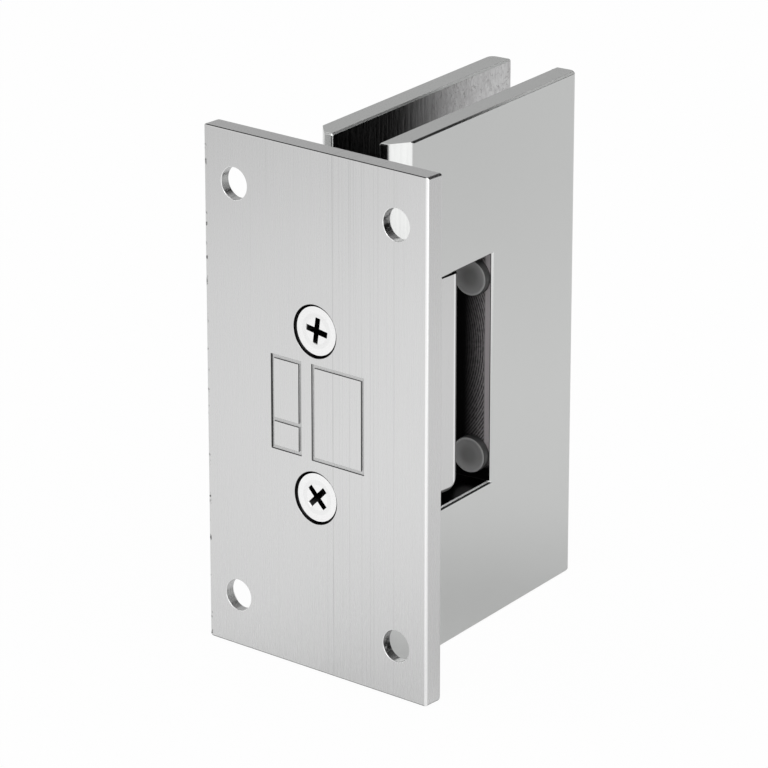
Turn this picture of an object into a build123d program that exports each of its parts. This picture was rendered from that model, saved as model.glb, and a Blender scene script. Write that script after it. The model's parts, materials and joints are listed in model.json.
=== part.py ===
"""Glass door hinge: wall plate, pivot block and a two-leaf glass clamp, in millimetres.

The origin is the middle of the plate's wall face. X leaves the wall, Y runs along the wall
and Z is up. The door side is drawn about the pin and then turned to the angle it rests at.
"""
from build123d import *
import os

# Wall plate
plate_height = 90.0
plate_width = 47.2
plate_thick = 4.0
plate_edge_round = 0.9
wall_hole_dia = 5.5
wall_hole_inset_y = 6.5
wall_hole_inset_z = 9.0
wall_head_dia = 10.0

# Empty stamped frames on the wall face: edges in Y and Z
frame_groove_wide = 0.6
frame_groove_deep = 0.3
small_frame = (3.3, 9.2, -7.5, 8.3)
small_frame_bar_z = -2.65
large_frame = (-10.0, 0.5, -7.7, 8.4)

# Pin, the angle the door side rests at and how far the pivot sits below the plate's middle
pin_x = 22.7
pivot_drop = 0.3
pin_dia = 8.0
rest_angle = 6.0
centring_flat = 0.4
locking_flat = 0.6

# Pivot block
block_thick = 14.0
block_past_pin = 5.8
pin_relief = 0.3
block_corner = 2.4
block_edge_round = 1.1
block_screw_inset_z = 4.7
block_screw_dia = 5.0
block_screw_stop = 2.2
block_screw_play = 0.15
block_screw_head = 8.4
block_screw_sunk = 0.4
screw_hole_mouth = 9.1
cross_wing = 1.0
cross_reach = 2.3
cross_tip = 0.9
cross_deep = 2.4

# Bushes and washers round the pin
bush_wall = 1.0
bush_long = 7.5
washer_dia = 11.0
washer_thick = 1.0

# Pressure block that centres the pin, and the bowed leaf springs behind it
press_wide = 10.0
press_high = 16.0
press_nose = 0.8
spring_count = 4
spring_thick = 0.7
spring_bow = 0.8

# Door leaves
leaf_height = 90.5
leaf_thick = 4.3
glass_gap = 9.0
leaf_reach = 39.6
leaf_tail = 14.2
tail_land = 1.65
tail_chamfer_run = 3.45
free_end_round = 1.5
free_end_inner_round = 0.4
leaf_bevel = 0.3
notch_height = 40.4
notch_back = 13.25

# Core between the leaves, part of the body leaf
core_reach = 24.0
core_tail = 11.0
boss_height = 10.5
core_corner = 3.0
core_into_cover = 1.5
pin_roof = 2.0
pin_end_gap = 0.2
pin_low_gap = 0.5
flat_margin = 0.5

# Small parts of the door side
clamp_screw_z = 12.0
clamp_screw_dia = 5.0
clamp_screw_head = 9.6
clamp_screw_long = 14.0
clamp_screw_wall = 2.2
clamp_socket = 3.0
clamp_socket_deep = 2.2
clamp_screw_sunk = 0.1
clamp_screw_play = 0.2
set_screw_dia = 4.0
set_screw_long = 6.0
set_socket = 2.0
set_socket_deep = 2.0
bumper_dia = 6.4
bumper_proud = 1.4
bumper_seat = 1.5
bumper_edge = 0.25
bumper_y = -5.15
bumper_inset_z = 4.45

# Clearances
running_gap = 0.04
fixed_gap = 0.02
thread_gap = 0.04
washer_gap = 0.1
pocket_gap = 0.2
press_gap = 0.05
press_room = 0.3
overcut = 1.0

# Worked out from the values above
pin_r = pin_dia / 2
leaf_outer = glass_gap / 2 + leaf_thick
block_front = pin_x + block_past_pin
block_height = notch_height - 2 * (washer_thick + washer_gap)
block_screw_z = block_height / 2 - block_screw_inset_z
core_height = notch_height + 2 * boss_height
core_face = glass_gap / 2 + core_into_cover
bush_r = pin_r + running_gap + bush_wall
block_screw_long = pin_x - bush_r - block_screw_stop - block_screw_sunk
spring_step = spring_thick + fixed_gap
press_back = plate_thick + spring_count * spring_step + spring_bow + fixed_gap
press_front = pin_x - pin_r - press_gap
clamp_screw_x = (notch_back + core_reach) / 2
set_screw_z = (notch_height + core_height) / 4
bumper_z = notch_height / 2 - bumper_inset_z


def bar(radius, start, end, plane_axis="X"):
    """A round bar from start to end along one axis, centred on the other two."""
    length = end - start
    turns = {"X": (0, 90, 0), "Y": (90, 0, 0), "Z": (0, 0, 0)}
    middle = (start + end) / 2
    places = {"X": (middle, 0, 0), "Y": (0, middle, 0), "Z": (0, 0, middle)}
    return Pos(*places[plane_axis]) * Rot(*turns[plane_axis]) * Cylinder(radius, length)


def brick(x0, x1, y0, y1, z0, z1):
    """A block given by its low and high faces."""
    box = Box(x1 - x0, y1 - y0, z1 - z0)
    return Pos((x0 + x1) / 2, (y0 + y1) / 2, (z0 + z1) / 2) * box


def sink(mouth_r, bottom_r, depth):
    """A countersink along +X with its mouth at X = 0."""
    cone = Cone(mouth_r, bottom_r, depth, align=(Align.CENTER, Align.CENTER, Align.MIN))
    return Rot(0, 90, 0) * cone


def groove_frame(y0, y1, z0, z1):
    """A rectangular groove cut into the plate's wall face."""
    half = frame_groove_wide / 2
    outer = brick(-overcut, frame_groove_deep, y0 - half, y1 + half, z0 - half, z1 + half)
    inner = brick(-overcut, frame_groove_deep, y0 + half, y1 - half, z0 + half, z1 - half)
    return outer - inner


def back_plate():
    """Flat plate with four wall holes, two sunk screw holes and two stamped frames."""
    plate = brick(0, plate_thick, -plate_width / 2, plate_width / 2,
                  -plate_height / 2, plate_height / 2)
    plate = fillet(plate.faces().sort_by(Axis.X)[-1].edges(), plate_edge_round)
    hole = bar(wall_hole_dia / 2, -overcut, plate_thick + overcut)
    sink_depth = (wall_head_dia - wall_hole_dia) / 2
    room_sink = sink(wall_hole_dia / 2, wall_head_dia / 2, sink_depth)
    wall_hole = hole + Pos(plate_thick - sink_depth, 0, 0) * room_sink
    hole_y = plate_width / 2 - wall_hole_inset_y
    hole_z = plate_height / 2 - wall_hole_inset_z
    for y in (-hole_y, hole_y):
        for z in (-hole_z, hole_z):
            plate -= Pos(0, y, z) * wall_hole
    bore_r = block_screw_dia / 2 + block_screw_play
    mouth_r = screw_hole_mouth / 2
    screw_hole = bar(bore_r, -overcut, plate_thick + overcut)
    screw_hole += bar(mouth_r, -overcut, block_screw_sunk)
    screw_hole += Pos(block_screw_sunk, 0, 0) * sink(mouth_r, bore_r, mouth_r - bore_r)
    for z in (-block_screw_z, block_screw_z):
        plate -= Pos(0, 0, z) * screw_hole
    plate -= groove_frame(*small_frame)
    plate -= groove_frame(*large_frame)
    half = frame_groove_wide / 2
    plate -= brick(-overcut, frame_groove_deep, small_frame[0], small_frame[1],
                   small_frame_bar_z - half, small_frame_bar_z + half)
    return plate


def block_screw(turn):
    """Countersunk cross-recess screw that enters from the wall face along +X."""
    head_r = block_screw_head / 2
    shank_r = block_screw_dia / 2
    head_deep = head_r - shank_r
    screw = bar(shank_r, 0, block_screw_long) + sink(head_r, shank_r, head_deep)
    wing = Wedge(2 * cross_reach, cross_deep, cross_wing, cross_reach - cross_tip, 0,
                 cross_reach + cross_tip, cross_wing)
    wing = Rot(0, 0, -90) * Pos(0, cross_deep / 2, 0) * wing
    for angle in (turn, turn + 90):
        screw -= Rot(angle, 0, 0) * wing
    return Pos(block_screw_sunk, 0, 0) * screw


def pivot_block():
    """Block that stands off the plate and carries the pin in two bushes."""
    half_y = block_thick / 2
    half_z = block_height / 2
    block = brick(plate_thick, block_front, -half_y, half_y, -half_z, half_z)
    front = block.faces().sort_by(Axis.X)[-1]
    low_corner = front.edges().sort_by(Axis.Z)[0]
    block = fillet(low_corner, block_corner)
    for side in (0, -1):
        rim = block.faces().sort_by(Axis.Y)[side].edges()
        rim = [e for e in rim if e.center().X > plate_thick + overcut]
        rim = [e for e in rim if e.center().Z < half_z - overcut]
        block = fillet(rim, block_edge_round)
    pin_space = bar(pin_r + pin_relief, -half_z - overcut, half_z + overcut, "Z")
    bush_space = bar(bush_r + fixed_gap, half_z - bush_long, half_z + overcut, "Z")
    low_space = bar(bush_r + fixed_gap, -half_z - overcut, -half_z + bush_long, "Z")
    block -= Pos(pin_x, 0, 0) * (pin_space + bush_space + low_space)
    wide = press_wide / 2 + running_gap
    high = press_high / 2 + running_gap
    block -= brick(plate_thick - overcut, press_front + press_room, -wide, wide, -high, high)
    block = at_z(block, -pivot_drop)
    for z in (-block_screw_z, block_screw_z):
        depth = block_screw_sunk + block_screw_long + overcut
        block -= Pos(0, 0, z) * bar(block_screw_dia / 2 + thread_gap, 0, depth)
    return block


def bush(direction):
    """Plain bush in the block's top (direction 1) or bottom (-1)."""
    half_z = block_height / 2
    sleeve = bar(bush_r, half_z - bush_long, half_z, "Z")
    sleeve -= bar(pin_r + running_gap, 0, half_z + overcut, "Z")
    if direction < 0:
        sleeve = Rot(180, 0, 0) * sleeve
    return Pos(pin_x, 0, 0) * sleeve


def pressure_block():
    """Sliding block whose flat nose centres the pin."""
    half_y = press_wide / 2
    half_z = press_high / 2
    block = brick(press_back, press_front, -half_y, half_y, -half_z, half_z)
    nose = block.faces().sort_by(Axis.X)[-1]
    return chamfer(nose.edges().filter_by(Axis.Z), press_nose)


def spring_leaf(number):
    """Bowed flat spring whose long edges rest on the plate or on the leaf behind it."""
    half = press_wide / 2
    back = plate_thick + fixed_gap + number * spring_step
    front = back + spring_thick
    outline = [
        ThreePointArc((back, -half), (back + spring_bow, 0), (back, half)),
        Line((back, half), (front, half)),
        ThreePointArc((front, half), (front + spring_bow, 0), (front, -half)),
        Line((front, -half), (back, -half)),
    ]
    leaf = extrude(make_face(outline), amount=press_high)
    return Pos(0, 0, -press_high / 2) * leaf


def leaf_blank():
    """One leaf on the -Y side of the pin, with its notch, before holes are cut."""
    inner = -glass_gap / 2
    outline = Polyline(
        (-leaf_tail, inner),
        (-leaf_tail, inner - tail_land),
        (-leaf_tail + tail_chamfer_run, -leaf_outer),
        (leaf_reach, -leaf_outer),
        (leaf_reach, inner),
        close=True,
    )
    blank = extrude(make_face(outline), amount=leaf_height)
    blank = at_z(blank, pivot_drop - leaf_height / 2)
    uprights = blank.edges().filter_by(Axis.Z).group_by(Axis.X)[-1].sort_by(Axis.Y)
    blank = fillet(uprights[0], free_end_round)
    inner_edge = blank.edges().filter_by(Axis.Z).group_by(Axis.Y)[-1].sort_by(Axis.X)[-1]
    blank = fillet(inner_edge, free_end_inner_round)
    half_z = notch_height / 2
    blank -= brick(-leaf_tail - overcut, notch_back, -leaf_outer - overcut, overcut, -half_z, half_z)
    face_edges = blank.faces().sort_by(Axis.Y)[0].edges()
    return chamfer(face_edges, leaf_bevel)


def core_block(grow=0.0):
    """Core between the leaves: two pin bosses joined by the web behind the notch."""
    half_z = core_height / 2 + grow
    core = brick(-core_tail - grow, core_reach + grow, -glass_gap / 2, core_face, -half_z, half_z)
    core = fillet(core.edges().filter_by(Axis.Y), core_corner)
    notch = notch_height / 2
    return core - brick(-leaf_tail - overcut, notch_back, -leaf_outer, leaf_outer, -notch, notch)


def body_leaf():
    """Near leaf with the core that holds the pin, the clamp screws and the bumpers."""
    leaf = leaf_blank() + core_block()
    top = core_height / 2
    leaf -= bar(pin_r + fixed_gap, -top - overcut, top - pin_roof, "Z")
    for z in (-set_screw_z, set_screw_z):
        leaf -= Pos(0, 0, z) * bar(set_screw_dia / 2 + thread_gap, -core_tail - overcut, 0)
    for z in (-clamp_screw_z, clamp_screw_z):
        low = -leaf_outer + clamp_screw_wall
        hole = bar(clamp_screw_dia / 2 + thread_gap, low, core_face + overcut, "Y")
        leaf -= Pos(clamp_screw_x, 0, z) * hole
    for z in (-bumper_z, bumper_z):
        seat = bar(bumper_dia / 2 + fixed_gap, notch_back - overcut, notch_back + bumper_seat)
        leaf -= Pos(0, bumper_y, z) * seat
    return leaf


def cover_leaf():
    """Far leaf: a plate with a pocket for the core and two sunk screw holes."""
    leaf = mirror(leaf_blank(), about=Plane.XZ)
    leaf -= core_block(pocket_gap)
    head_r = clamp_screw_head / 2
    hole_r = clamp_screw_dia / 2 + clamp_screw_play
    mouth_r = head_r + clamp_screw_sunk
    through = bar(hole_r, 0, leaf_outer + overcut, "Y")
    head = Rot(0, 0, -90) * sink(mouth_r, hole_r, mouth_r - hole_r)
    hole = through + Pos(0, leaf_outer, 0) * head
    for z in (-clamp_screw_z, clamp_screw_z):
        leaf -= Pos(clamp_screw_x, 0, z) * hole
    return leaf


def clamp_screw():
    """Countersunk socket screw that enters the cover along -Y."""
    head_r = clamp_screw_head / 2
    shank_r = clamp_screw_dia / 2
    screw = bar(shank_r, 0, clamp_screw_long) + sink(head_r, shank_r, head_r - shank_r)
    socket = RegularPolygon(clamp_socket / 2, 6, major_radius=False)
    screw -= Rot(0, 90, 0) * extrude(socket, amount=clamp_socket_deep)
    return Pos(clamp_screw_x, leaf_outer - clamp_screw_sunk, 0) * Rot(0, 0, -90) * screw


def set_screw():
    """Socket set screw that locks the pin from the core's tail side."""
    tip = -(pin_r - locking_flat) - fixed_gap
    screw = bar(set_screw_dia / 2, tip - set_screw_long, tip)
    socket = RegularPolygon(set_socket / 2, 6, major_radius=False)
    recess = Rot(0, 90, 0) * extrude(socket, amount=set_socket_deep)
    return screw - Pos(tip - set_screw_long, 0, 0) * recess


def pivot_pin():
    """Pin with a centring flat for the pressure block and a locking flat in each boss."""
    top = core_height / 2 - pin_roof - pin_end_gap
    low = -core_height / 2 + pin_low_gap
    pin = bar(pin_r, low, top, "Z")
    flat_half = press_high / 2 + flat_margin
    flat = brick(-pin_r - overcut, -pin_r + centring_flat, -pin_r, pin_r, -flat_half, flat_half)
    pin -= Rot(0, 0, -rest_angle) * flat
    for z in (-set_screw_z, set_screw_z):
        half = set_screw_dia / 2 + flat_margin
        lock = brick(-pin_r - overcut, -pin_r + locking_flat, -pin_r, pin_r, z - half, z + half)
        pin -= lock
    return pin


def thrust_washer(direction):
    """Washer between a boss and the end of the pivot block."""
    face = notch_height / 2
    ring = bar(washer_dia / 2, face - washer_thick, face, "Z")
    ring -= bar(pin_r + running_gap, 0, face + overcut, "Z")
    if direction < 0:
        ring = Rot(180, 0, 0) * ring
    return ring


def bumper():
    """Clear disc set into the web, with its front edge eased."""
    disc = bar(bumper_dia / 2, notch_back - bumper_proud, notch_back + bumper_seat)
    return chamfer(disc.faces().sort_by(Axis.X)[0].edges(), bumper_edge)


def on_door(shape):
    """Turn a door-side shape to its rest angle and put it on the pin's axis."""
    return Pos(pin_x, 0, -pivot_drop) * Rot(0, 0, rest_angle) * shape


def at_z(shape, z):
    return Pos(0, 0, z) * shape


parts = {
    "back_plate": back_plate(),
    "pivot_block": pivot_block(),
    "block_screw_upper": at_z(block_screw(8), block_screw_z),
    "block_screw_lower": at_z(block_screw(45), -block_screw_z),
    "bush_upper": at_z(bush(1), -pivot_drop),
    "bush_lower": at_z(bush(-1), -pivot_drop),
    "pressure_block": at_z(pressure_block(), -pivot_drop),
    "body_leaf": on_door(body_leaf()),
    "cover_leaf": on_door(cover_leaf()),
    "pivot_pin": on_door(pivot_pin()),
    "thrust_washer_upper": on_door(thrust_washer(1)),
    "thrust_washer_lower": on_door(thrust_washer(-1)),
    "set_screw_upper": on_door(at_z(set_screw(), set_screw_z)),
    "set_screw_lower": on_door(at_z(set_screw(), -set_screw_z)),
    "clamp_screw_upper": on_door(at_z(clamp_screw(), clamp_screw_z)),
    "clamp_screw_lower": on_door(at_z(clamp_screw(), -clamp_screw_z)),
    "bumper_upper": on_door(Pos(0, bumper_y, bumper_z) * bumper()),
    "bumper_lower": on_door(Pos(0, bumper_y, -bumper_z) * bumper()),
}
for number in range(spring_count):
    parts[f"spring_leaf_{number + 1}"] = at_z(spring_leaf(number), -pivot_drop)

os.makedirs("parts", exist_ok=True)
for name, shape in parts.items():
    export_step(shape, f"parts/{name}.step")
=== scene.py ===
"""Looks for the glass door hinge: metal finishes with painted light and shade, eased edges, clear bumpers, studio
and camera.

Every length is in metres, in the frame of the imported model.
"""
import json
import math

import bmesh
import bpy
from mathutils import Matrix, Vector


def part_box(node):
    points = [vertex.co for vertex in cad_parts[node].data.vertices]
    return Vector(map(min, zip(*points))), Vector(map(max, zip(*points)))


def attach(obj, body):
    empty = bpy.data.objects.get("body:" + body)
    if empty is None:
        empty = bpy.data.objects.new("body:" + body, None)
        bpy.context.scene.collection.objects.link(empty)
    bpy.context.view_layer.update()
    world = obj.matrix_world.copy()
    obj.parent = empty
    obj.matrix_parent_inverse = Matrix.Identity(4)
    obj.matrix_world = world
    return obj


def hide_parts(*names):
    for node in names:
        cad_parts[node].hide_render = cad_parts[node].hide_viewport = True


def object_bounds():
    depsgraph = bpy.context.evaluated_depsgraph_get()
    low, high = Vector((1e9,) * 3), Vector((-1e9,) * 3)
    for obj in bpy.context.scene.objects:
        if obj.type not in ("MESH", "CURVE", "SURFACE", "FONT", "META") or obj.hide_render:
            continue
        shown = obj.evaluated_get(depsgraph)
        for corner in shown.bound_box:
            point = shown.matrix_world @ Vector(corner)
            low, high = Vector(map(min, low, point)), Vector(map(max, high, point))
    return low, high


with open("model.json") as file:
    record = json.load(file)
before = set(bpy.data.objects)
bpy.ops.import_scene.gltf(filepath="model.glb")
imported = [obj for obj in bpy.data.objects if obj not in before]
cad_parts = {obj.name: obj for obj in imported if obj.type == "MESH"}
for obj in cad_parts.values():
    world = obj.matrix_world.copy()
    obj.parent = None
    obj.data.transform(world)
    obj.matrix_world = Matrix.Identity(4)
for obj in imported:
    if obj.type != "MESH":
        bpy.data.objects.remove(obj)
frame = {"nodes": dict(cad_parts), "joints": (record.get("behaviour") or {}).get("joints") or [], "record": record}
nodes = frame["nodes"]
cad_low, cad_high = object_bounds()

MM = 0.001

# Door side: the pin's axis and the angle the leaves rest at
PIN = Vector(frame["joints"][0]["pos_m"])
REST_ANGLE = math.radians(6.0)
DOOR_TURN = Matrix.Rotation(REST_ANGLE, 4, "Z")

# Camera fitted to the plate's and leaves' corners
CAMERA_AZIMUTH = math.radians(-50.14)
CAMERA_ELEVATION = math.radians(19.77)
CAMERA_TARGET = Vector((17.46, 0.0, 0.63)) * MM
CAMERA_DISTANCE = 751.4 * MM
CAMERA_LENS = 213.3
CAMERA_SENSOR = 36.0
CAMERA_CLIP = 0.01

# Studio: floor, its share of glow for the camera and in mirrors, and where mirrors see it dim, along x - y
FLOOR_SIZE = 6.0
FLOOR_WHITE = 0.9
FLOOR_SHOWN = 0.96
FLOOR_MIRRORED = 0.5
FLOOR_DIMMING = (-0.06, 0.10)
FLOOR_RIGHT = 0.72
AMBIENT_LEVEL = 0.75

# Lighter and dimmer pools on the floor, as reflections see them: place, radius and gain
POOLS = (
    ((-0.12, 0.03, 0.0), 0.13, 0.26),
    ((-0.20, 0.11, 0.0), 0.09, 0.25),
    ((-0.22, 0.31, 0.0), 0.19, -0.8),
    ((0.04, -0.01, 0.0), 0.055, -0.27),
    ((0.12, -0.09, 0.0), 0.10, 0.12),
    ((0.27, -0.22, 0.0), 0.16, -0.3),
)

# Finishes: light that bare steel gives back, the level of the bright screws and of painted highlights, faint
# tints, and the shader's plain settings
STEEL = 0.70
BRIGHT_AND_HIGHLIGHT = 0.98
COOL = (0.99, 1.0, 0.99)
PLUM = (1.0, 0.95, 0.97)
METAL = {"Metallic": 1.0}
PLASTIC = {}
TRANSLUCENT = {"Transmission Weight": 0.35, "IOR": 1.42}

# Noise: features per metre along each axis, and the range that holds most of its values
SATIN_GRAIN = (2600, 2600, 60)
SATIN_CLOUD = (22, 22, 14)
EVEN_GRAIN = (2400, 2400, 2400)
EVEN_CLOUD = (180, 180, 180)
NOISE_RANGE = (0.3, 0.7)

# How squarely a face points along an axis, as soft steps of (start, end)
LEVEL_FACE = (0.6, 0.9)
GROOVE_FLOOR = (0.55, 0.85)
FLAT_RIM = (0.93, 0.98)
SLANT_START = (0.2, 0.4)
SLANT_END = (0.88, 0.96)
BEVEL_END = (0.90, 0.97)

# Plate: its highest corner, its holes, its screw mouths, and half of the zone with the stamped frames
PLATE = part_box("back_plate")[1]
HOLES = next(mount["dims"] for mount in frame["record"]["mounts"] if mount["name"] == "wall_holes")
HOLE_Y = HOLES["spacing_x_mm"] / 2 * MM
HOLE_Z = HOLES["spacing_y_mm"] / 2 * MM
BORE = 2.8 * MM
BORE_RIM = 3.0 * MM
BORE_FOOT = (-2.1 * MM, -1.2 * MM)
MOUTH = 4.7 * MM
STAMPS_Y = 12 * MM
STAMPS_Z = 30 * MM

# Block screws: height, depth of the head's face, faint ring on it, and the step into the recess
SCREW_Z = 14.4 * MM
SCREW_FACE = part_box("block_screw_upper")[0].x
RING_OUTER = 3.0 * MM
RING_INNER = 2.2 * MM
RECESS_START = (SCREW_FACE + 0.04 * MM, SCREW_FACE + 0.27 * MM)

# Plate's upright sides and near front edge as soft steps, and how high its top and bottom edge lines reach
PLATE_SIDES = (PLATE.y - 0.7 * MM, PLATE.y - 0.4 * MM)
PLATE_NEAR = (-PLATE.y + 0.5 * MM, -PLATE.y + 0.6 * MM)
PLATE_LINE = 0.3 * MM

# Soft steps in depth, from the plate's wall face, for the nicks and for painted shade, highlights and reflections
SUNK_START = (0.03 * MM, 0.08 * MM)
SUNK_END = (1.6 * MM, 1.7 * MM)
BORE_START = (0.03 * MM, 0.10 * MM)
RIM_HIGHLIGHT_END = (0.10 * MM, 0.12 * MM)
NICKS_END = (0.35 * MM, 0.50 * MM)
EDGE_REFLECTION_END = (0.22 * MM, 0.26 * MM)
EDGE_HIGHLIGHT_END = (0.12 * MM, 0.34 * MM)
REAR_SHADE_START = (3.3 * MM, 3.8 * MM)

# Brush lines that stand out on the plate: place along Y and strength
BRUSH_LINES = (
    (-3.8 * MM, 0.65),
    (-7.3 * MM, 0.30),
    (-9.9 * MM, 0.28),
    (-12.4 * MM, 0.22),
    (-16.6 * MM, 0.22),
)
BRUSH_LINE_HALF = (0.04 * MM, 0.13 * MM)

# Band of finer brush lines: its middle, the step at its sides, and its strength
BRUSH_BAND = -9.0 * MM
BRUSH_BAND_HALF = (6 * MM, 9 * MM)
BRUSH_BAND_SHARE = 0.14

# Leaves, turned back about the pin: places from its axis, and the notch's half height from the pivot's
BLOCK_LOW, BLOCK_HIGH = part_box("pivot_block")
PIVOT_Z = (BLOCK_LOW.z + BLOCK_HIGH.z) / 2
SLOT_HALF = 4.5 * MM
LEAF_OUTER = 8.8 * MM
LEAF_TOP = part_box("body_leaf")[1].z
WEB = 13.25 * MM
NOTCH_HALF = 20.2 * MM
TAIL_END = -14.1 * MM

# Soft steps along the slot: swirls take over from streaks, contour marks begin, and the painted shade at the wall
# end lets go
SWIRLS = (10 * MM, 24 * MM)
CONTOURS = (8 * MM, 22 * MM)
SLOT_SHADE = (2 * MM, 26 * MM)

# Web: step and middle (Y, Z) of its milled arcs, and soft steps of its painted light and shade inwards along Y and
# upwards along Z
MILL_STEP = 0.44 * MM
MILL_MIDDLE = (14 * MM, 3 * MM)
WEB_LINE = (-8.4 * MM, -8.25 * MM)
WEB_STRIP = (-7.5 * MM, -7.1 * MM)
WEB_LIT = (-7.3 * MM, -3.2 * MM)
WEB_FOOT = (-18.5 * MM, -15.5 * MM)

# Soft steps at a flat face, at a disc's rim, and behind the painted highlight strip at the front of the notch's
# floor
ON_FACE = (0.05 * MM, 0.10 * MM)
DISC_SOFT = 0.05 * MM
NOTCH_HIGHLIGHT = (-8.15 * MM, -7.95 * MM)

# How far web and notch floor stop short of the leaf's outer face, and how far past its own the slot is taken
WEB_MARGIN = 0.3 * MM
NOTCH_MARGIN = 0.28 * MM
SLOT_MARGIN = 0.02 * MM

# Bevels of the leaves' tops: their height, the inner ones, and where they grey towards the free end
BEVEL_HIGH = 0.28 * MM
INNER_BEVELS = (5 * MM, 6 * MM)
FREE_END = (-2 * MM, 26 * MM)

# Block, for its painted light and shade: highlight strip, free end and sides along X and Y, rounded foot and top
# edge along Z
BLOCK_HIGHLIGHT = (BLOCK_HIGH.x - 1.45 * MM, BLOCK_HIGH.x - 1.3 * MM)
BLOCK_END = (BLOCK_HIGH.x - 1.05 * MM, BLOCK_HIGH.x - 0.95 * MM)
BLOCK_SIDES = (BLOCK_HIGH.y - 0.12 * MM, BLOCK_HIGH.y - 0.04 * MM)
BLOCK_FOOT = (BLOCK_LOW.z + 0.85 * MM, BLOCK_LOW.z + 1.0 * MM)
BLOCK_TOP_SHADE = (BLOCK_HIGH.z - 0.1 * MM, BLOCK_HIGH.z - 0.04 * MM)

# Edges: a fine round everywhere, and what the plate's sides and the ends of plate and leaves add to it
PLATE_EDGE = 0.11 * MM
PLATE_END = 0.06 * MM
PLATE_SIDE = 0.38 * MM
LEAF_EDGE = 0.04 * MM
LEAF_END = 0.30 * MM
FINE_EDGE = 0.08 * MM
EDGE_ZONE = 0.2 * MM
SHARP_ANGLE = math.radians(35)
FLAT_ANGLE = math.radians(0.3)
SAME_POINT = 1e-6

# Leaves' length: its middle from the pin, and half of what lies between the eased ends
LEAF_MIDDLE = 12.7 * MM
LEAF_HALF = 26.7 * MM

# Bumpers: sizes, shares of the radius and of the dish's depth, and soft steps outwards of their tone, painted rim
# highlight and painted side shade
BUMPER_THICK = 2.9 * MM
BUMPER_RIM = 0.55 * MM
BUMPER_DISH = 0.18 * MM
BUMPER_ROUND = 0.25 * MM
BUMPER_SLOPE = 0.1 * MM
BUMPER_BACK_EDGE = 0.02 * MM
DISH_RING = 0.45
DISH_EDGE_DEPTH = 0.4
ROUND_STEPS = 6
BUMPER_GREY = (0.8 * MM, 2.6 * MM)
BUMPER_RIM_HIGHLIGHT = (2.6 * MM, 2.9 * MM)
BUMPER_SIDE_SHADE = (3.0 * MM, 3.12 * MM)


class Nodes:
    """A node tree with short ways to add nodes to it."""

    def __init__(self, tree):
        self.tree = tree
        self.tree.nodes.clear()

    def add(self, kind, **settings):
        made = self.tree.nodes.new(kind)
        for key, value in settings.items():
            setattr(made, key, value)
        return made

    def link(self, start, end):
        self.tree.links.new(start, end)

    def feed(self, socket, value):
        """Link an output to a socket, or set a plain value on it."""
        if isinstance(value, bpy.types.NodeSocket):
            self.link(value, socket)
        else:
            socket.default_value = value

    def math(self, operation, first, second=0.0):
        made = self.add("ShaderNodeMath", operation=operation)
        self.feed(made.inputs[0], first)
        self.feed(made.inputs[1], second)
        return made.outputs[0]

    def times(self, first, second):
        return self.math("MULTIPLY", first, second)

    def off(self, value, middle=0.0):
        """How far value lies from middle, either way."""
        return self.math("ABSOLUTE", self.math("SUBTRACT", value, middle))

    def under(self, value, limit):
        """1 where value is less than limit, 0 elsewhere."""
        return self.math("LESS_THAN", value, limit)

    def remap(self, value, low, high, to_low=0.0, to_high=1.0, smooth=True):
        """to_low up to low, to_high from high on, and a step between them."""
        kind = "SMOOTHSTEP" if smooth else "LINEAR"
        made = self.add("ShaderNodeMapRange", interpolation_type=kind, clamp=True)
        self.feed(made.inputs["Value"], value)
        made.inputs["From Min"].default_value = low
        made.inputs["From Max"].default_value = high
        made.inputs["To Min"].default_value = to_low
        made.inputs["To Max"].default_value = to_high
        return made.outputs[0]

    def fall(self, value, low, high):
        """1 up to low, 0 from high on."""
        return self.remap(value, low, high, 1.0, 0.0)

    def split(self, place):
        made = self.add("ShaderNodeSeparateXYZ")
        self.link(place, made.inputs[0])
        return made.outputs[0], made.outputs[1], made.outputs[2]

    def mix_shaders(self, share, first, second, out):
        """Two shaders by share, on the output node's surface."""
        mix = self.add("ShaderNodeMixShader")
        self.link(share, mix.inputs[0])
        self.link(first.outputs[0], mix.inputs[1])
        self.link(second.outputs[0], mix.inputs[2])
        self.link(mix.outputs[0], out.inputs["Surface"])


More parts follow.
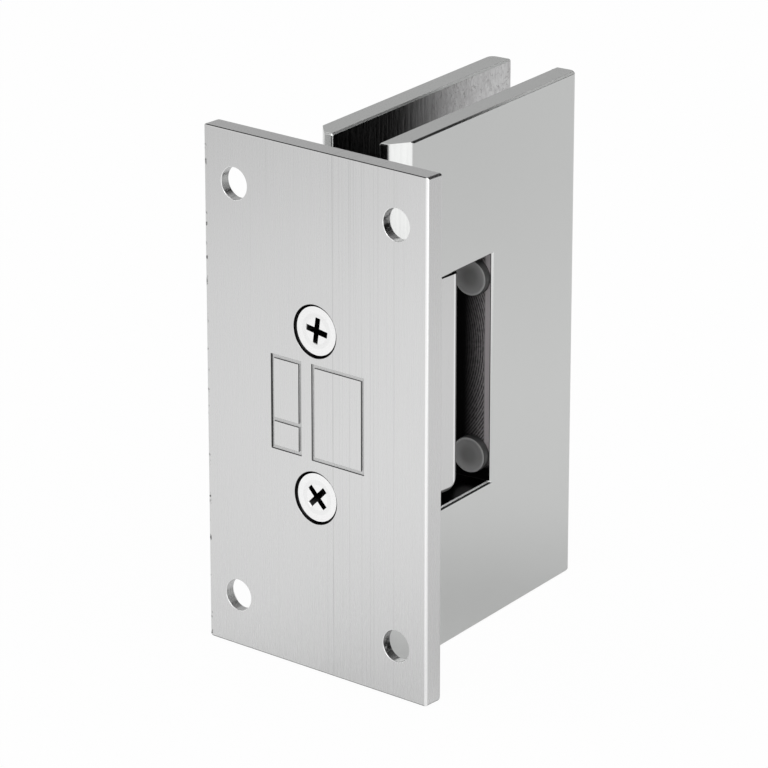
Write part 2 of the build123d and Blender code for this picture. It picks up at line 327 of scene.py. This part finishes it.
class Shader(Nodes):
    """A principled material built up in layers: its colour, roughness and normal so far."""

    def __init__(self, name):
        self.material = bpy.data.materials.new(name)
        self.material.use_nodes = True
        super().__init__(self.material.node_tree)
        out = self.add("ShaderNodeOutputMaterial")
        self.surface = self.add("ShaderNodeBsdfPrincipled")
        self.link(self.surface.outputs["BSDF"], out.inputs["Surface"])
        coordinates = self.add("ShaderNodeTexCoord")
        self.place = coordinates.outputs["Object"]
        self.facing = coordinates.outputs["Normal"]
        self.color = None
        self.rough = None
        self.normal = None

    def turned_back(self):
        """Coordinates with the door side turned back about the pin."""
        made = self.add("ShaderNodeVectorRotate", rotation_type="Z_AXIS")
        made.inputs["Center"].default_value = PIN
        made.inputs["Angle"].default_value = -REST_ANGLE
        self.link(self.place, made.inputs["Vector"])
        return made.outputs[0]

    def noise(self, place, scale, detail=4.0, roughness=0.55, distortion=0.0):
        """Noise of 0 to 1; scale is in features per metre along each axis."""
        stretched = self.add("ShaderNodeMapping")
        stretched.inputs["Scale"].default_value = scale
        self.link(place, stretched.inputs["Vector"])
        made = self.add("ShaderNodeTexNoise")
        self.link(stretched.outputs[0], made.inputs["Vector"])
        made.inputs["Scale"].default_value = 1.0
        made.inputs["Detail"].default_value = detail
        made.inputs["Roughness"].default_value = roughness
        made.inputs["Distortion"].default_value = distortion
        return made.outputs["Fac"]

    def points(self, axis):
        """0 to 1 for how squarely a face points along an axis, either way."""
        return self.off(self.split(self.facing)[axis])

    def blend(self, share, first, second):
        """A colour between two colours."""
        made = self.add("ShaderNodeMix", data_type="RGBA")
        self.feed(made.inputs["Factor"], share)
        self.feed(made.inputs[6], first)
        self.feed(made.inputs[7], second)
        return made.outputs[2]

    def paint(self, share, color):
        """Lay a colour over what is there, by share."""
        self.color = self.blend(share, self.color, color)

    def roughen(self, share, amount):
        """Add up to amount to the roughness, by share."""
        self.rough = self.math("ADD", self.rough, self.times(share, amount))

    def emboss(self, height, depth, strength):
        """Raise the surface by up to depth, over the bumps that are there."""
        made = self.add("ShaderNodeBump")
        made.inputs["Strength"].default_value = strength
        made.inputs["Distance"].default_value = depth
        self.link(height, made.inputs["Height"])
        if self.normal is not None:
            self.link(self.normal, made.inputs["Normal"])
        self.normal = made.outputs[0]

    def finished(self, settings):
        """The material, once its layers and plain settings are handed to the shader."""
        self.feed(self.surface.inputs["Base Color"], self.color)
        self.feed(self.surface.inputs["Roughness"], self.rough)
        if self.normal is not None:
            self.link(self.normal, self.surface.inputs["Normal"])
        for key, value in settings.items():
            self.surface.inputs[key].default_value = value
        return self.material


def grey(level, tint=(1.0, 1.0, 1.0)):
    return (level * tint[0], level * tint[1], level * tint[2], 1.0)


def from_axis(s, y, z, middle_y, middle_z):
    """Distance from an axis along X."""
    across = s.math("SUBTRACT", y, middle_y)
    up = s.math("SUBTRACT", z, middle_z)
    return s.math("SQRT", s.math("ADD", s.times(across, across), s.times(up, up)))


def around(s, y, z, middle_y, middle_z, radius):
    """1 within radius of an axis along X, 0 outside."""
    return s.fall(from_axis(s, y, z, middle_y, middle_z), radius - DISC_SOFT, radius + DISC_SOFT)


def at_screws(s, y, z, radius):
    """1 within radius of either block screw's axis, 0 outside."""
    return around(s, y, s.off(z), 0.0, SCREW_Z, radius)


def sides_only(s):
    """1 on upright faces, 0 on level ones."""
    return s.fall(s.points(2), *LEVEL_FACE)


def brush_plate(s, y, upright):
    """Ground of the plate: upright grain, faint streaks, a band of fine lines and a few that stand out."""
    dark = grey(STEEL * 0.5)
    fine = s.times(s.noise(s.place, (3000, 4200, 45), detail=3.0), upright)
    lines = s.times(s.noise(s.place, (900, 1150, 9), detail=2.0, roughness=0.7), upright)
    cloud = s.noise(s.place, (28, 28, 18), detail=2.0)
    s.color = s.blend(cloud, grey(STEEL * 0.98), grey(STEEL * 1.03))
    s.paint(s.times(s.remap(lines, 0.60, 0.72), 0.08), grey(STEEL * 0.7))
    s.paint(s.times(fine, 0.03), grey(STEEL * 0.86))
    comb = s.remap(s.noise(s.place, (0, 2600, 5), detail=1.0), 0.58, 0.70)
    band = s.remap(s.off(y, BRUSH_BAND), *BRUSH_BAND_HALF, BRUSH_BAND_SHARE, 0.0)
    s.paint(s.times(comb, band), dark)
    broken = s.noise(s.place, (40, 40, 60), detail=2.0)
    for line_y, share in BRUSH_LINES:
        line = s.remap(s.off(y, line_y), *BRUSH_LINE_HALF, share, 0.0)
        s.paint(s.times(line, broken), dark)
    s.rough = s.remap(fine, *NOISE_RANGE, 0.24, 0.29)
    s.emboss(s.math("ADD", s.times(fine, 0.5), s.times(lines, 0.5)), 0.001 * MM, 0.4)


def paint_sunk_shade(s, x, y, z):
    """Painted shade in the sunk zones: a little over all of them, dark on the walls of the stamped grooves, and
    nearly black in the screw mouths.
    """
    depth = s.times(s.remap(x, *SUNK_START), s.fall(x, *SUNK_END))
    zone = s.times(s.under(s.off(y), STAMPS_Y), s.under(s.off(z), STAMPS_Z))
    sunk = s.times(depth, zone)
    # Painted shade in the grooves and the screw mouths
    s.paint(s.times(sunk, 0.35), grey(0.3))
    s.paint(s.times(sunk, s.fall(s.points(0), *GROOVE_FLOOR)), grey(0.03))
    s.paint(s.times(s.times(sunk, at_screws(s, y, z, MOUTH)), 0.98), grey(0.01))


def nick_and_shade_plate_sides(s, x, y, side):
    """Small dark nicks along the far front edge, and painted shade on the sides towards their rear edges."""
    edge = s.times(s.remap(y, *PLATE_SIDES), s.fall(x, *NICKS_END))
    chips = s.remap(s.noise(s.place, (300, 300, 420), detail=4.0, roughness=0.7), 0.55, 0.6)
    s.paint(s.times(edge, chips), grey(0.05))
    # Painted shade on the sides towards their rear edges
    s.paint(s.times(s.times(side, s.remap(x, *REAR_SHADE_START)), 0.35), grey(0.3))


def paint_bore_shade_and_rim_highlights(s, x, y, z):
    """Corner holes: painted shade, mottled, in the bores all but at their lowest, and painted highlights on their
    rims.
    """
    across = s.off(y)
    up = s.math("SUBTRACT", z, s.times(s.math("SIGN", z), HOLE_Z))
    bore = s.times(around(s, across, up, HOLE_Y, 0.0, BORE), s.remap(x, *BORE_START))
    bore = s.times(bore, s.remap(up, *BORE_FOOT))
    mottle = s.remap(s.noise(s.place, (500, 900, 900), detail=3.0), 0.42, 0.60)
    # Painted shade in the bores; painted highlights on the rims below
    s.paint(bore, s.blend(mottle, grey(0.02), grey(0.28)))
    rim = s.times(around(s, across, up, HOLE_Y, 0.0, BORE_RIM), s.fall(x, *RIM_HIGHLIGHT_END))
    s.paint(s.times(rim, s.fall(s.points(0), *FLAT_RIM)), grey(BRIGHT_AND_HIGHLIGHT))


def paint_plate_edge_light(s, x, y, z, side, upright):
    """Rounded edges: a painted dark reflection line along the top and bottom, painted grey shade on the corners,
    and a painted highlight on the near edge.
    """
    slant = s.points(2)
    slant = s.times(s.remap(slant, *SLANT_START), s.fall(slant, *SLANT_END))
    line = s.times(slant, s.math("GREATER_THAN", s.off(z), PLATE.z - PLATE_LINE))
    # Painted reflection, shade and highlight on the rounded edges
    s.paint(s.times(line, s.remap(x, *EDGE_REFLECTION_END, 0.95, 0.0)), grey(0.04))
    s.paint(s.times(slant, side), grey(STEEL * 0.5))
    bright = s.times(side, s.fall(x, *EDGE_HIGHLIGHT_END))
    bright = s.times(bright, s.fall(y, *PLATE_NEAR))
    s.paint(s.times(bright, upright), grey(BRIGHT_AND_HIGHLIGHT))


def plate_metal():
    """Satin plate with upright brush lines, nicks along a front edge, and painted light and shade at its grooves,
    screw mouths, holes, sides and edges.
    """
    s = Shader("plate_satin")
    x, y, z = s.split(s.place)
    upright = sides_only(s)
    side = s.remap(s.off(y), *PLATE_SIDES)
    brush_plate(s, y, upright)
    paint_sunk_shade(s, x, y, z)
    nick_and_shade_plate_sides(s, x, y, side)
    paint_bore_shade_and_rim_highlights(s, x, y, z)
    paint_plate_edge_light(s, x, y, z, side, upright)
    return s.finished(METAL)


def mark_and_shade_slot(s, local, along, y):
    """Leaves' faces in the slot: painted shade, dark towards the wall, then fine upright streaks, then smeared
    swirls.
    """
    inside = s.under(s.off(y), SLOT_HALF + SLOT_MARGIN)
    swirl = s.noise(local, (900, 900, 480), detail=5.0, roughness=0.7, distortion=0.9)
    streaks = s.noise(local, (1700, 1700, 150), detail=4.0, distortion=0.4)
    smear = s.blend(s.remap(along, *SWIRLS), s.remap(streaks, *NOISE_RANGE), s.remap(swirl, *NOISE_RANGE))
    contour = s.noise(local, (430, 430, 330), detail=2.0, distortion=1.2)
    contour = s.times(s.fall(s.off(contour, 0.5), 0.004, 0.02), s.remap(along, *CONTOURS))
    slot = s.blend(s.times(smear, 0.4), grey(STEEL * 1.06), grey(STEEL * 0.42, PLUM))
    slot = s.blend(s.times(contour, 0.5), slot, grey(STEEL * 0.35, PLUM))
    # Painted shade: nearly black towards the wall
    s.paint(inside, s.blend(s.remap(along, *SLOT_SHADE), grey(0.002), slot))
    s.roughen(inside, 0.08)
    s.emboss(s.times(inside, smear), 0.05 * MM, 0.5)


def mill_and_light_web(s, local, along, height, y, z):
    """Web at the notch's back: milled in arcs, with painted shade that darkens it further in and at its foot, a
    painted pale strip and a painted dark line.
    """
    web = s.fall(s.off(along, WEB), *ON_FACE)
    web = s.times(web, s.under(height, NOTCH_HALF))
    web = s.times(web, s.under(s.off(y), LEAF_OUTER - WEB_MARGIN))
    rings = s.math("SINE", s.times(from_axis(s, y, z, *MILL_MIDDLE), 2 * math.pi / MILL_STEP))
    speckle = s.remap(s.noise(local, (2200, 2200, 1400), detail=2.0), 0.35, 0.65)
    arcs = s.times(web, s.blend(0.35, s.remap(rings, -1.0, 1.0), speckle))
    # Painted light and shade: lit towards the web's front, dark further in and at its foot
    shade = s.math("POWER", s.remap(y, *WEB_LIT, 1.0, 0.0, smooth=False), 1.5)
    shade = s.times(shade, s.remap(arcs, 0.0, 1.0, 0.12, 0.56))
    shade = s.math("MAXIMUM", shade, s.remap(y, *WEB_STRIP, 0.76, 0.0))
    shade = s.math("MINIMUM", shade, s.remap(y, *WEB_LINE, 0.12, 1.0))
    shade = s.times(shade, s.remap(z, *WEB_FOOT))
    s.paint(web, s.blend(shade, grey(0.004, PLUM), grey(BRIGHT_AND_HIGHLIGHT, PLUM)))
    s.roughen(web, 0.45)
    s.emboss(arcs, 0.02 * MM, 0.5)


def shade_notch(s, along, height, y):
    """Painted shade on the notch's floor and ceiling, a painted highlight in a strip along their front, and
    painted shade on the near tail.
    """
    shelf = s.fall(s.off(height, NOTCH_HALF), *ON_FACE)
    shelf = s.times(shelf, s.under(s.off(y), LEAF_OUTER - NOTCH_MARGIN))
    shelf = s.times(shelf, s.under(along, WEB))
    strip = s.times(shelf, s.fall(y, *NOTCH_HIGHLIGHT))
    tail = s.times(s.under(along, TAIL_END), s.under(y, 0.0))
    s.paint(s.math("MAXIMUM", shelf, tail), s.blend(strip, grey(0.04), grey(BRIGHT_AND_HIGHLIGHT)))
    s.roughen(strip, 0.5)


def soften_top_bevels(s, along, y, z):
    """Bevels of the leaves' tops: greyer on the inner edge and towards the free end."""
    top = s.math("GREATER_THAN", s.off(z), LEAF_TOP - BEVEL_HIGH)
    bevel = s.times(top, s.fall(s.points(2), *BEVEL_END))
    soft = s.remap(s.off(y), *INNER_BEVELS, 0.3, 0.0)
    soft = s.math("MAXIMUM", soft, s.remap(along, *FREE_END, 0.0, 0.72))
    s.roughen(s.times(bevel, soft), 0.6)


def leaf_metal():
    """Satin leaf: fine grain outside, swirled marks and painted shade in the slot, and a milled web and a notch
    with painted light and shade.
    """
    s = Shader("leaf_satin")
    local = s.turned_back()
    x, y, z = s.split(local)
    along = s.math("SUBTRACT", x, PIN.x)
    height = s.off(z, PIVOT_Z)
    fine = s.times(s.noise(local, SATIN_GRAIN, detail=3.0), sides_only(s))
    cloud = s.noise(local, SATIN_CLOUD, detail=2.0)
    s.color = s.blend(cloud, grey(STEEL * 0.98, COOL), grey(STEEL * 1.03, COOL))
    s.paint(s.times(fine, 0.05), grey(STEEL * 0.88))
    s.rough = s.remap(fine, *NOISE_RANGE, 0.21, 0.27)
    s.emboss(fine, 0.002 * MM, 0.4)
    mark_and_shade_slot(s, local, along, y)
    mill_and_light_web(s, local, along, height, y, z)
    shade_notch(s, along, height, y)
    soften_top_bevels(s, along, y, z)
    return s.finished(METAL)


def block_metal():
    """Satin block: a painted highlight strip before its free end, painted shade on its faces in the notch and
    darker painted shade on its top.
    """
    s = Shader("block_satin")
    x, y, z = s.split(s.place)
    fine = s.noise(s.place, SATIN_GRAIN, detail=3.0)
    cloud = s.noise(s.place, SATIN_CLOUD, detail=2.0)
    s.color = s.blend(cloud, grey(STEEL), grey(STEEL * 1.06))
    s.paint(s.times(fine, 0.05), grey(STEEL * 0.88))
    s.paint(s.remap(x, *BLOCK_HIGHLIGHT), grey(BRIGHT_AND_HIGHLIGHT))
    # Painted shade on all faces but the two sides, darker on the top
    within = s.fall(s.off(y), *BLOCK_SIDES)
    within = s.math("MAXIMUM", within, s.remap(x, *BLOCK_END))
    within = s.math("MAXIMUM", within, s.fall(z, *BLOCK_FOOT))
    s.paint(within, grey(0.2))
    s.paint(s.remap(z, *BLOCK_TOP_SHADE), grey(0.02))
    s.rough = s.remap(fine, *NOISE_RANGE, 0.20, 0.28)
    s.roughen(within, 0.35)
    s.emboss(fine, 0.003 * MM, 0.5)
    return s.finished(METAL)


def grained_metal(name, light, dark, roughness):
    """Shader of turned or plated metal with a fine all-over grain."""
    s = Shader(name)
    grain = s.noise(s.place, EVEN_GRAIN, detail=3.0)
    cloud = s.noise(s.place, EVEN_CLOUD, detail=2.0)
    s.color = s.blend(cloud, grey(light), grey(dark))
    s.rough = s.remap(grain, *NOISE_RANGE, roughness, roughness + 0.08)
    s.emboss(grain, 0.003 * MM, 0.5)
    return s


def plain_metal(name, level, roughness):
    return grained_metal(name, level, level * 0.88, roughness).finished(METAL)


def screw_metal():
    """Bright screw with painted shade in its recess and a faint ring round it."""
    s = grained_metal("screw_bright", BRIGHT_AND_HIGHLIGHT, 0.93, 0.2)
    x, y, z = s.split(s.place)
    near = at_screws(s, y, z, RING_OUTER)
    ring = s.math("SUBTRACT", near, at_screws(s, y, z, RING_INNER))
    s.paint(s.times(ring, 0.12), grey(0.5))
    # Painted shade in the recess
    s.paint(s.times(near, s.remap(x, *RECESS_START)), grey(0.015))
    return s.finished(METAL)


def plain_plastic(name, level, roughness):
    s = Shader(name)
    grain = s.noise(s.place, (1800, 1800, 1800), detail=3.0)
    s.color = s.blend(grain, grey(level), grey(level * 0.85))
    s.rough = roughness
    s.emboss(grain, 0.01 * MM, 0.4)
    return s.finished(PLASTIC)


def bumper_plastic():
    """Cloudy translucent plastic: greyer in the middle, with a painted highlight at the rim and painted shade down
    its side.
    """
    s = Shader("clear_bumper")
    y, z = s.split(s.turned_back())[1:]
    low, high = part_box("bumper_upper")
    middle = DOOR_TURN.inverted() @ ((low + high) / 2 - PIN)
    far = from_axis(s, y, s.off(z, PIVOT_Z), middle.y, middle.z - PIVOT_Z)
    cloud = s.noise(s.place, (260, 260, 260), detail=3.0)
    s.color = s.blend(s.remap(far, *BUMPER_GREY), grey(0.36), grey(0.56))
    # Painted highlight at the rim, then painted shade down the side
    s.paint(s.remap(far, *BUMPER_RIM_HIGHLIGHT), grey(0.75))
    s.paint(s.remap(far, *BUMPER_SIDE_SHADE), grey(0.03))
    s.paint(s.times(cloud, 0.2), grey(0.18))
    s.rough = s.remap(cloud, *NOISE_RANGE, 0.34, 0.46)
    return s.finished(TRANSLUCENT)


materials = {
    "plate_satin": plate_metal(),
    "leaf_satin": leaf_metal(),
    "screw_bright": screw_metal(),
    "pin_steel": plain_metal("pin_steel", 0.52, 0.30),
    "spring_steel": plain_metal("spring_steel", 0.42, 0.35),
    "dark_screw": plain_metal("dark_screw", 0.10, 0.40),
    "nylon": plain_plastic("nylon", 0.75, 0.45),
    "clear_bumper": bumper_plastic(),
}


def dress(node_name, slot_name):
    """Give a node of the frame its finish."""
    mesh = nodes[node_name].data
    mesh.materials.clear()
    mesh.materials.append(materials[slot_name])


for part in frame["record"]["subparts"]:
    dress(part["node"], part["material_slot"])
nodes["pivot_block"].data.materials[0] = block_metal()


def weigh_edges(piece, base, ends, turn):
    """Weigh sharp edges: base everywhere, and an extra beyond each pair of planes.

    Each pair is (axis, middle, half distance, extra), in coordinates turned back about the pin.
    """
    tree = bpy.data.node_groups.new(f"{piece.name}_edges", "GeometryNodeTree")
    for side in ("INPUT", "OUTPUT"):
        tree.interface.new_socket(name="Geometry", in_out=side, socket_type="NodeSocketGeometry")
    n = Nodes(tree)
    start = n.add("NodeGroupInput")
    end = n.add("NodeGroupOutput")
    turned = n.add("ShaderNodeVectorRotate", rotation_type="Z_AXIS")
    turned.inputs["Center"].default_value = PIN
    turned.inputs["Angle"].default_value = -turn
    n.link(n.add("GeometryNodeInputPosition").outputs[0], turned.inputs["Vector"])
    place = n.split(turned.outputs[0])
    weight = base
    for axis, middle, half, extra in ends:
        beyond = n.math("GREATER_THAN", n.off(place[axis], middle), half)
        weight = n.math("ADD", n.times(beyond, extra), weight)
    angle = n.add("GeometryNodeInputMeshEdgeAngle").outputs["Unsigned Angle"]
    weight = n.times(weight, n.math("GREATER_THAN", angle, SHARP_ANGLE))
    store = n.add("GeometryNodeStoreNamedAttribute", data_type="FLOAT", domain="EDGE")
    store.inputs["Name"].default_value = "bevel_weight_edge"
    n.link(start.outputs[0], store.inputs["Geometry"])
    n.link(weight, store.inputs["Value"])
    n.link(store.outputs[0], end.inputs[0])
    weigh = piece.modifiers.new("weigh", "NODES")
    weigh.node_group = tree


def ease_edges(node_name, width, segments, ends=(), turn=0.0):
    """Round a node's sharp edges, as polishing leaves them, by width and more beyond its ends' planes."""
    piece = nodes[node_name]
    weld = piece.modifiers.new("weld", "WELD")
    weld.merge_threshold = SAME_POINT
    flat = piece.modifiers.new("flat", "DECIMATE")
    flat.decimate_type = "DISSOLVE"
    flat.angle_limit = FLAT_ANGLE
    widest = width + sum(extra for *planes, extra in ends)
    if ends:
        weigh_edges(piece, width / widest, [(*planes, extra / widest) for *planes, extra in ends], turn)
    edges = piece.modifiers.new("edges", "BEVEL")
    edges.width = widest
    edges.segments = segments
    edges.limit_method = "WEIGHT" if ends else "ANGLE"
    edges.angle_limit = SHARP_ANGLE
    edges.harden_normals = False
    edges.use_clamp_overlap = not ends
    normals = piece.modifiers.new("normals", "WEIGHTED_NORMAL")
    normals.weight = 80


plate_rim = [(1, 0.0, PLATE.y - EDGE_ZONE, PLATE_SIDE), (2, 0.0, PLATE.z - EDGE_ZONE, PLATE_END)]
leaf_ends = [(0, PIN.x + LEAF_MIDDLE, LEAF_HALF, LEAF_END)]
ease_edges("back_plate", PLATE_EDGE, segments=4, ends=plate_rim)
ease_edges("body_leaf", LEAF_EDGE, segments=4, ends=leaf_ends, turn=REST_ANGLE)
ease_edges("cover_leaf", LEAF_EDGE, segments=4, ends=leaf_ends, turn=REST_ANGLE)
ease_edges("pivot_block", FINE_EDGE, segments=3)
for name in ("block_screw_upper", "block_screw_lower", "clamp_screw_upper", "clamp_screw_lower"):
    ease_edges(name, FINE_EDGE, segments=2)


def lathe(name, profile, steps=64):
    """A closed solid turned about X from (x, radius) points that start and end on the axis."""
    mesh = bmesh.new()
    rings = []
    for along, radius in profile:
        if radius == 0:
            rings.append([mesh.verts.new((along, 0, 0))])
            continue
        ring = []
        for step in range(steps):
            angle = 2 * math.pi * step / steps
            ring.append(mesh.verts.new((along, radius * math.cos(angle), radius * math.sin(angle))))
        rings.append(ring)
    for low, high in zip(rings, rings[1:]):
        for step in range(steps):
            after = (step + 1) % steps
            corners = [low[step % len(low)], low[after % len(low)]]
            corners += [high[after % len(high)], high[step % len(high)]]
            mesh.faces.new(list(dict.fromkeys(corners)))
    bmesh.ops.recalc_face_normals(mesh, faces=mesh.faces)
    data = bpy.data.meshes.new(name)
    mesh.to_mesh(data)
    mesh.free()
    for face in data.polygons:
        face.use_smooth = True
    made = bpy.data.objects.new(name, data)
    bpy.context.scene.collection.objects.link(made)
    return made


def clear_bumper(which):
    """Clear disc with a rounded rim and a shallow dish, seated where the frame has it."""
    node_name = f"bumper_{which}"
    low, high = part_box(node_name)
    radius = (high.z - low.z) / 2
    front = -BUMPER_THICK / 2
    back = BUMPER_THICK / 2
    dish = front + BUMPER_DISH
    dish_edge = radius - BUMPER_RIM
    profile = [(dish, 0), (dish, radius * DISH_RING), (dish, dish_edge - BUMPER_ROUND)]
    profile.append((front + BUMPER_DISH * DISH_EDGE_DEPTH, dish_edge - BUMPER_SLOPE))
    for step in range(ROUND_STEPS + 1):
        angle = math.radians(90 * step / ROUND_STEPS)
        across = radius - BUMPER_ROUND + BUMPER_ROUND * math.sin(angle)
        profile.append((front + BUMPER_ROUND - BUMPER_ROUND * math.cos(angle), across))
    profile += [(back - BUMPER_BACK_EDGE, radius), (back, radius - BUMPER_BACK_EDGE), (back, 0)]
    disc = lathe(f"clear_{node_name}", profile)
    disc.data.transform(Matrix.Translation((low + high) / 2) @ DOOR_TURN)
    disc.data.materials.append(materials["clear_bumper"])
    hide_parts(node_name)
    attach(disc, "door_side")


for which in ("upper", "lower"):
    clear_bumper(which)


def ray_share(n, camera_value, mirror_value):
    """camera_value for camera rays, mirror_value for glossy and transmission rays, otherwise 0."""
    rays = n.add("ShaderNodeLightPath").outputs
    mirrored = n.math("MAXIMUM", rays["Is Glossy Ray"], rays["Is Transmission Ray"])
    return n.math("ADD", n.times(mirrored, mirror_value), n.times(rays["Is Camera Ray"], camera_value))


def studio_world():
    """Plain white for the camera and in reflections, and a softer white as the light."""
    world = bpy.data.worlds.new("studio")
    bpy.context.scene.world = world
    world.use_nodes = True
    n = Nodes(world.node_tree)
    ambient = n.add("ShaderNodeBackground")
    ambient.inputs["Color"].default_value = grey(1.0)
    ambient.inputs["Strength"].default_value = AMBIENT_LEVEL
    white = n.add("ShaderNodeBackground")
    white.inputs["Color"].default_value = grey(1.0)
    n.mix_shaders(ray_share(n, 1.0, 1.0), ambient, white, n.add("ShaderNodeOutputWorld"))


def floor_glow(n):
    """How bright the floor glows: even for the camera; reflections see it dim to the right and in pools."""
    place = n.add("ShaderNodeTexCoord").outputs["Object"]
    x, y = n.split(place)[:2]
    shown = n.remap(n.math("SUBTRACT", x, y), *FLOOR_DIMMING, 1.0, FLOOR_RIGHT)
    for middle, radius, gain in POOLS:
        far = n.add("ShaderNodeVectorMath", operation="DISTANCE")
        n.link(place, far.inputs[0])
        far.inputs[1].default_value = middle
        shown = n.math("ADD", shown, n.remap(far.outputs["Value"], 0.0, radius, gain, 0.0))
    level = n.add("ShaderNodeMix")
    n.link(n.add("ShaderNodeLightPath").outputs["Is Camera Ray"], level.inputs["Factor"])
    n.link(shown, level.inputs["A"])
    level.inputs["B"].default_value = 1.0
    return level.outputs[0]


def studio_floor():
    """White floor that keeps a faint shadow of the object; reflections see soft pools of light on it."""
    bpy.ops.mesh.primitive_plane_add(size=FLOOR_SIZE, location=(0, 0, cad_low.z))
    floor = bpy.context.object
    floor.name = "floor"
    material = bpy.data.materials.new("floor")
    material.use_nodes = True
    n = Nodes(material.node_tree)
    diffuse = n.add("ShaderNodeBsdfDiffuse")
    diffuse.inputs["Color"].default_value = grey(FLOOR_WHITE)
    glow = n.add("ShaderNodeEmission")
    n.link(floor_glow(n), glow.inputs["Strength"])
    out = n.add("ShaderNodeOutputMaterial")
    n.mix_shaders(ray_share(n, FLOOR_SHOWN, FLOOR_MIRRORED), diffuse, glow, out)
    floor.data.materials.append(material)


def aim(made, place, way):
    """Put an object at a place and turn its -Z axis that way."""
    made.location = place
    made.rotation_mode = "QUATERNION"
    made.rotation_quaternion = way.to_track_quat("-Z", "Y")


def card(name, direction, distance, size, level):
    """A studio card that only reflections see, facing the object."""
    bpy.ops.mesh.primitive_plane_add(size=1)
    made = bpy.context.object
    made.name = name
    way = Vector(direction).normalized()
    aim(made, way * distance, way)
    made.scale = (*size, 1)
    made.visible_camera = False
    made.visible_diffuse = False
    made.visible_shadow = False
    made.visible_transmission = False
    material = bpy.data.materials.new(name)
    material.use_nodes = True
    n = Nodes(material.node_tree)
    glow = n.add("ShaderNodeEmission")
    glow.inputs["Color"].default_value = grey(level)
    n.link(glow.outputs[0], n.add("ShaderNodeOutputMaterial").inputs["Surface"])
    made.data.materials.append(material)


def lamp(name, place, size, power):
    """A square lamp that shines at the frame's origin."""
    data = bpy.data.lights.new(name, "AREA")
    data.shape = "SQUARE"
    data.size = size
    data.energy = power
    made = bpy.data.objects.new(name, data)
    aim(made, place, -Vector(place))
    bpy.context.scene.collection.objects.link(made)


def camera():
    """The photo's camera."""
    data = bpy.data.cameras.new("camera")
    data.lens = CAMERA_LENS
    data.sensor_width = CAMERA_SENSOR
    data.clip_start = CAMERA_CLIP
    made = bpy.data.objects.new("camera", data)
    across = math.cos(CAMERA_ELEVATION)
    back_x = math.sin(CAMERA_AZIMUTH) * across
    back_y = -math.cos(CAMERA_AZIMUTH) * across
    back = Vector((back_x, back_y, math.sin(CAMERA_ELEVATION)))
    aim(made, CAMERA_TARGET + back * CAMERA_DISTANCE, -back)
    bpy.context.scene.collection.objects.link(made)
    bpy.context.scene.camera = made


studio_world()
studio_floor()
card("card_top", direction=(0.7255, 0.5994, 0.38), distance=1.0, size=(1.1, 0.8), level=0.48)
card("card_slot", direction=(0.88, -0.2, 0.46), distance=0.6, size=(0.8, 0.5), level=0.02)
card("card_over", direction=(-0.34, 0.6, 0.73), distance=0.6, size=(0.34, 0.34), level=0.04)
card("card_front", direction=(-0.5, -0.82, -0.06), distance=0.19, size=(0.40, 0.07), level=1.4)
lamp("key", place=(-1.3, -1.1, 1.7), size=1.0, power=9.0)
lamp("fill", place=(0.6, -1.8, 0.9), size=1.0, power=4.0)
camera()
bpy.context.scene.view_settings.view_transform = "Standard"
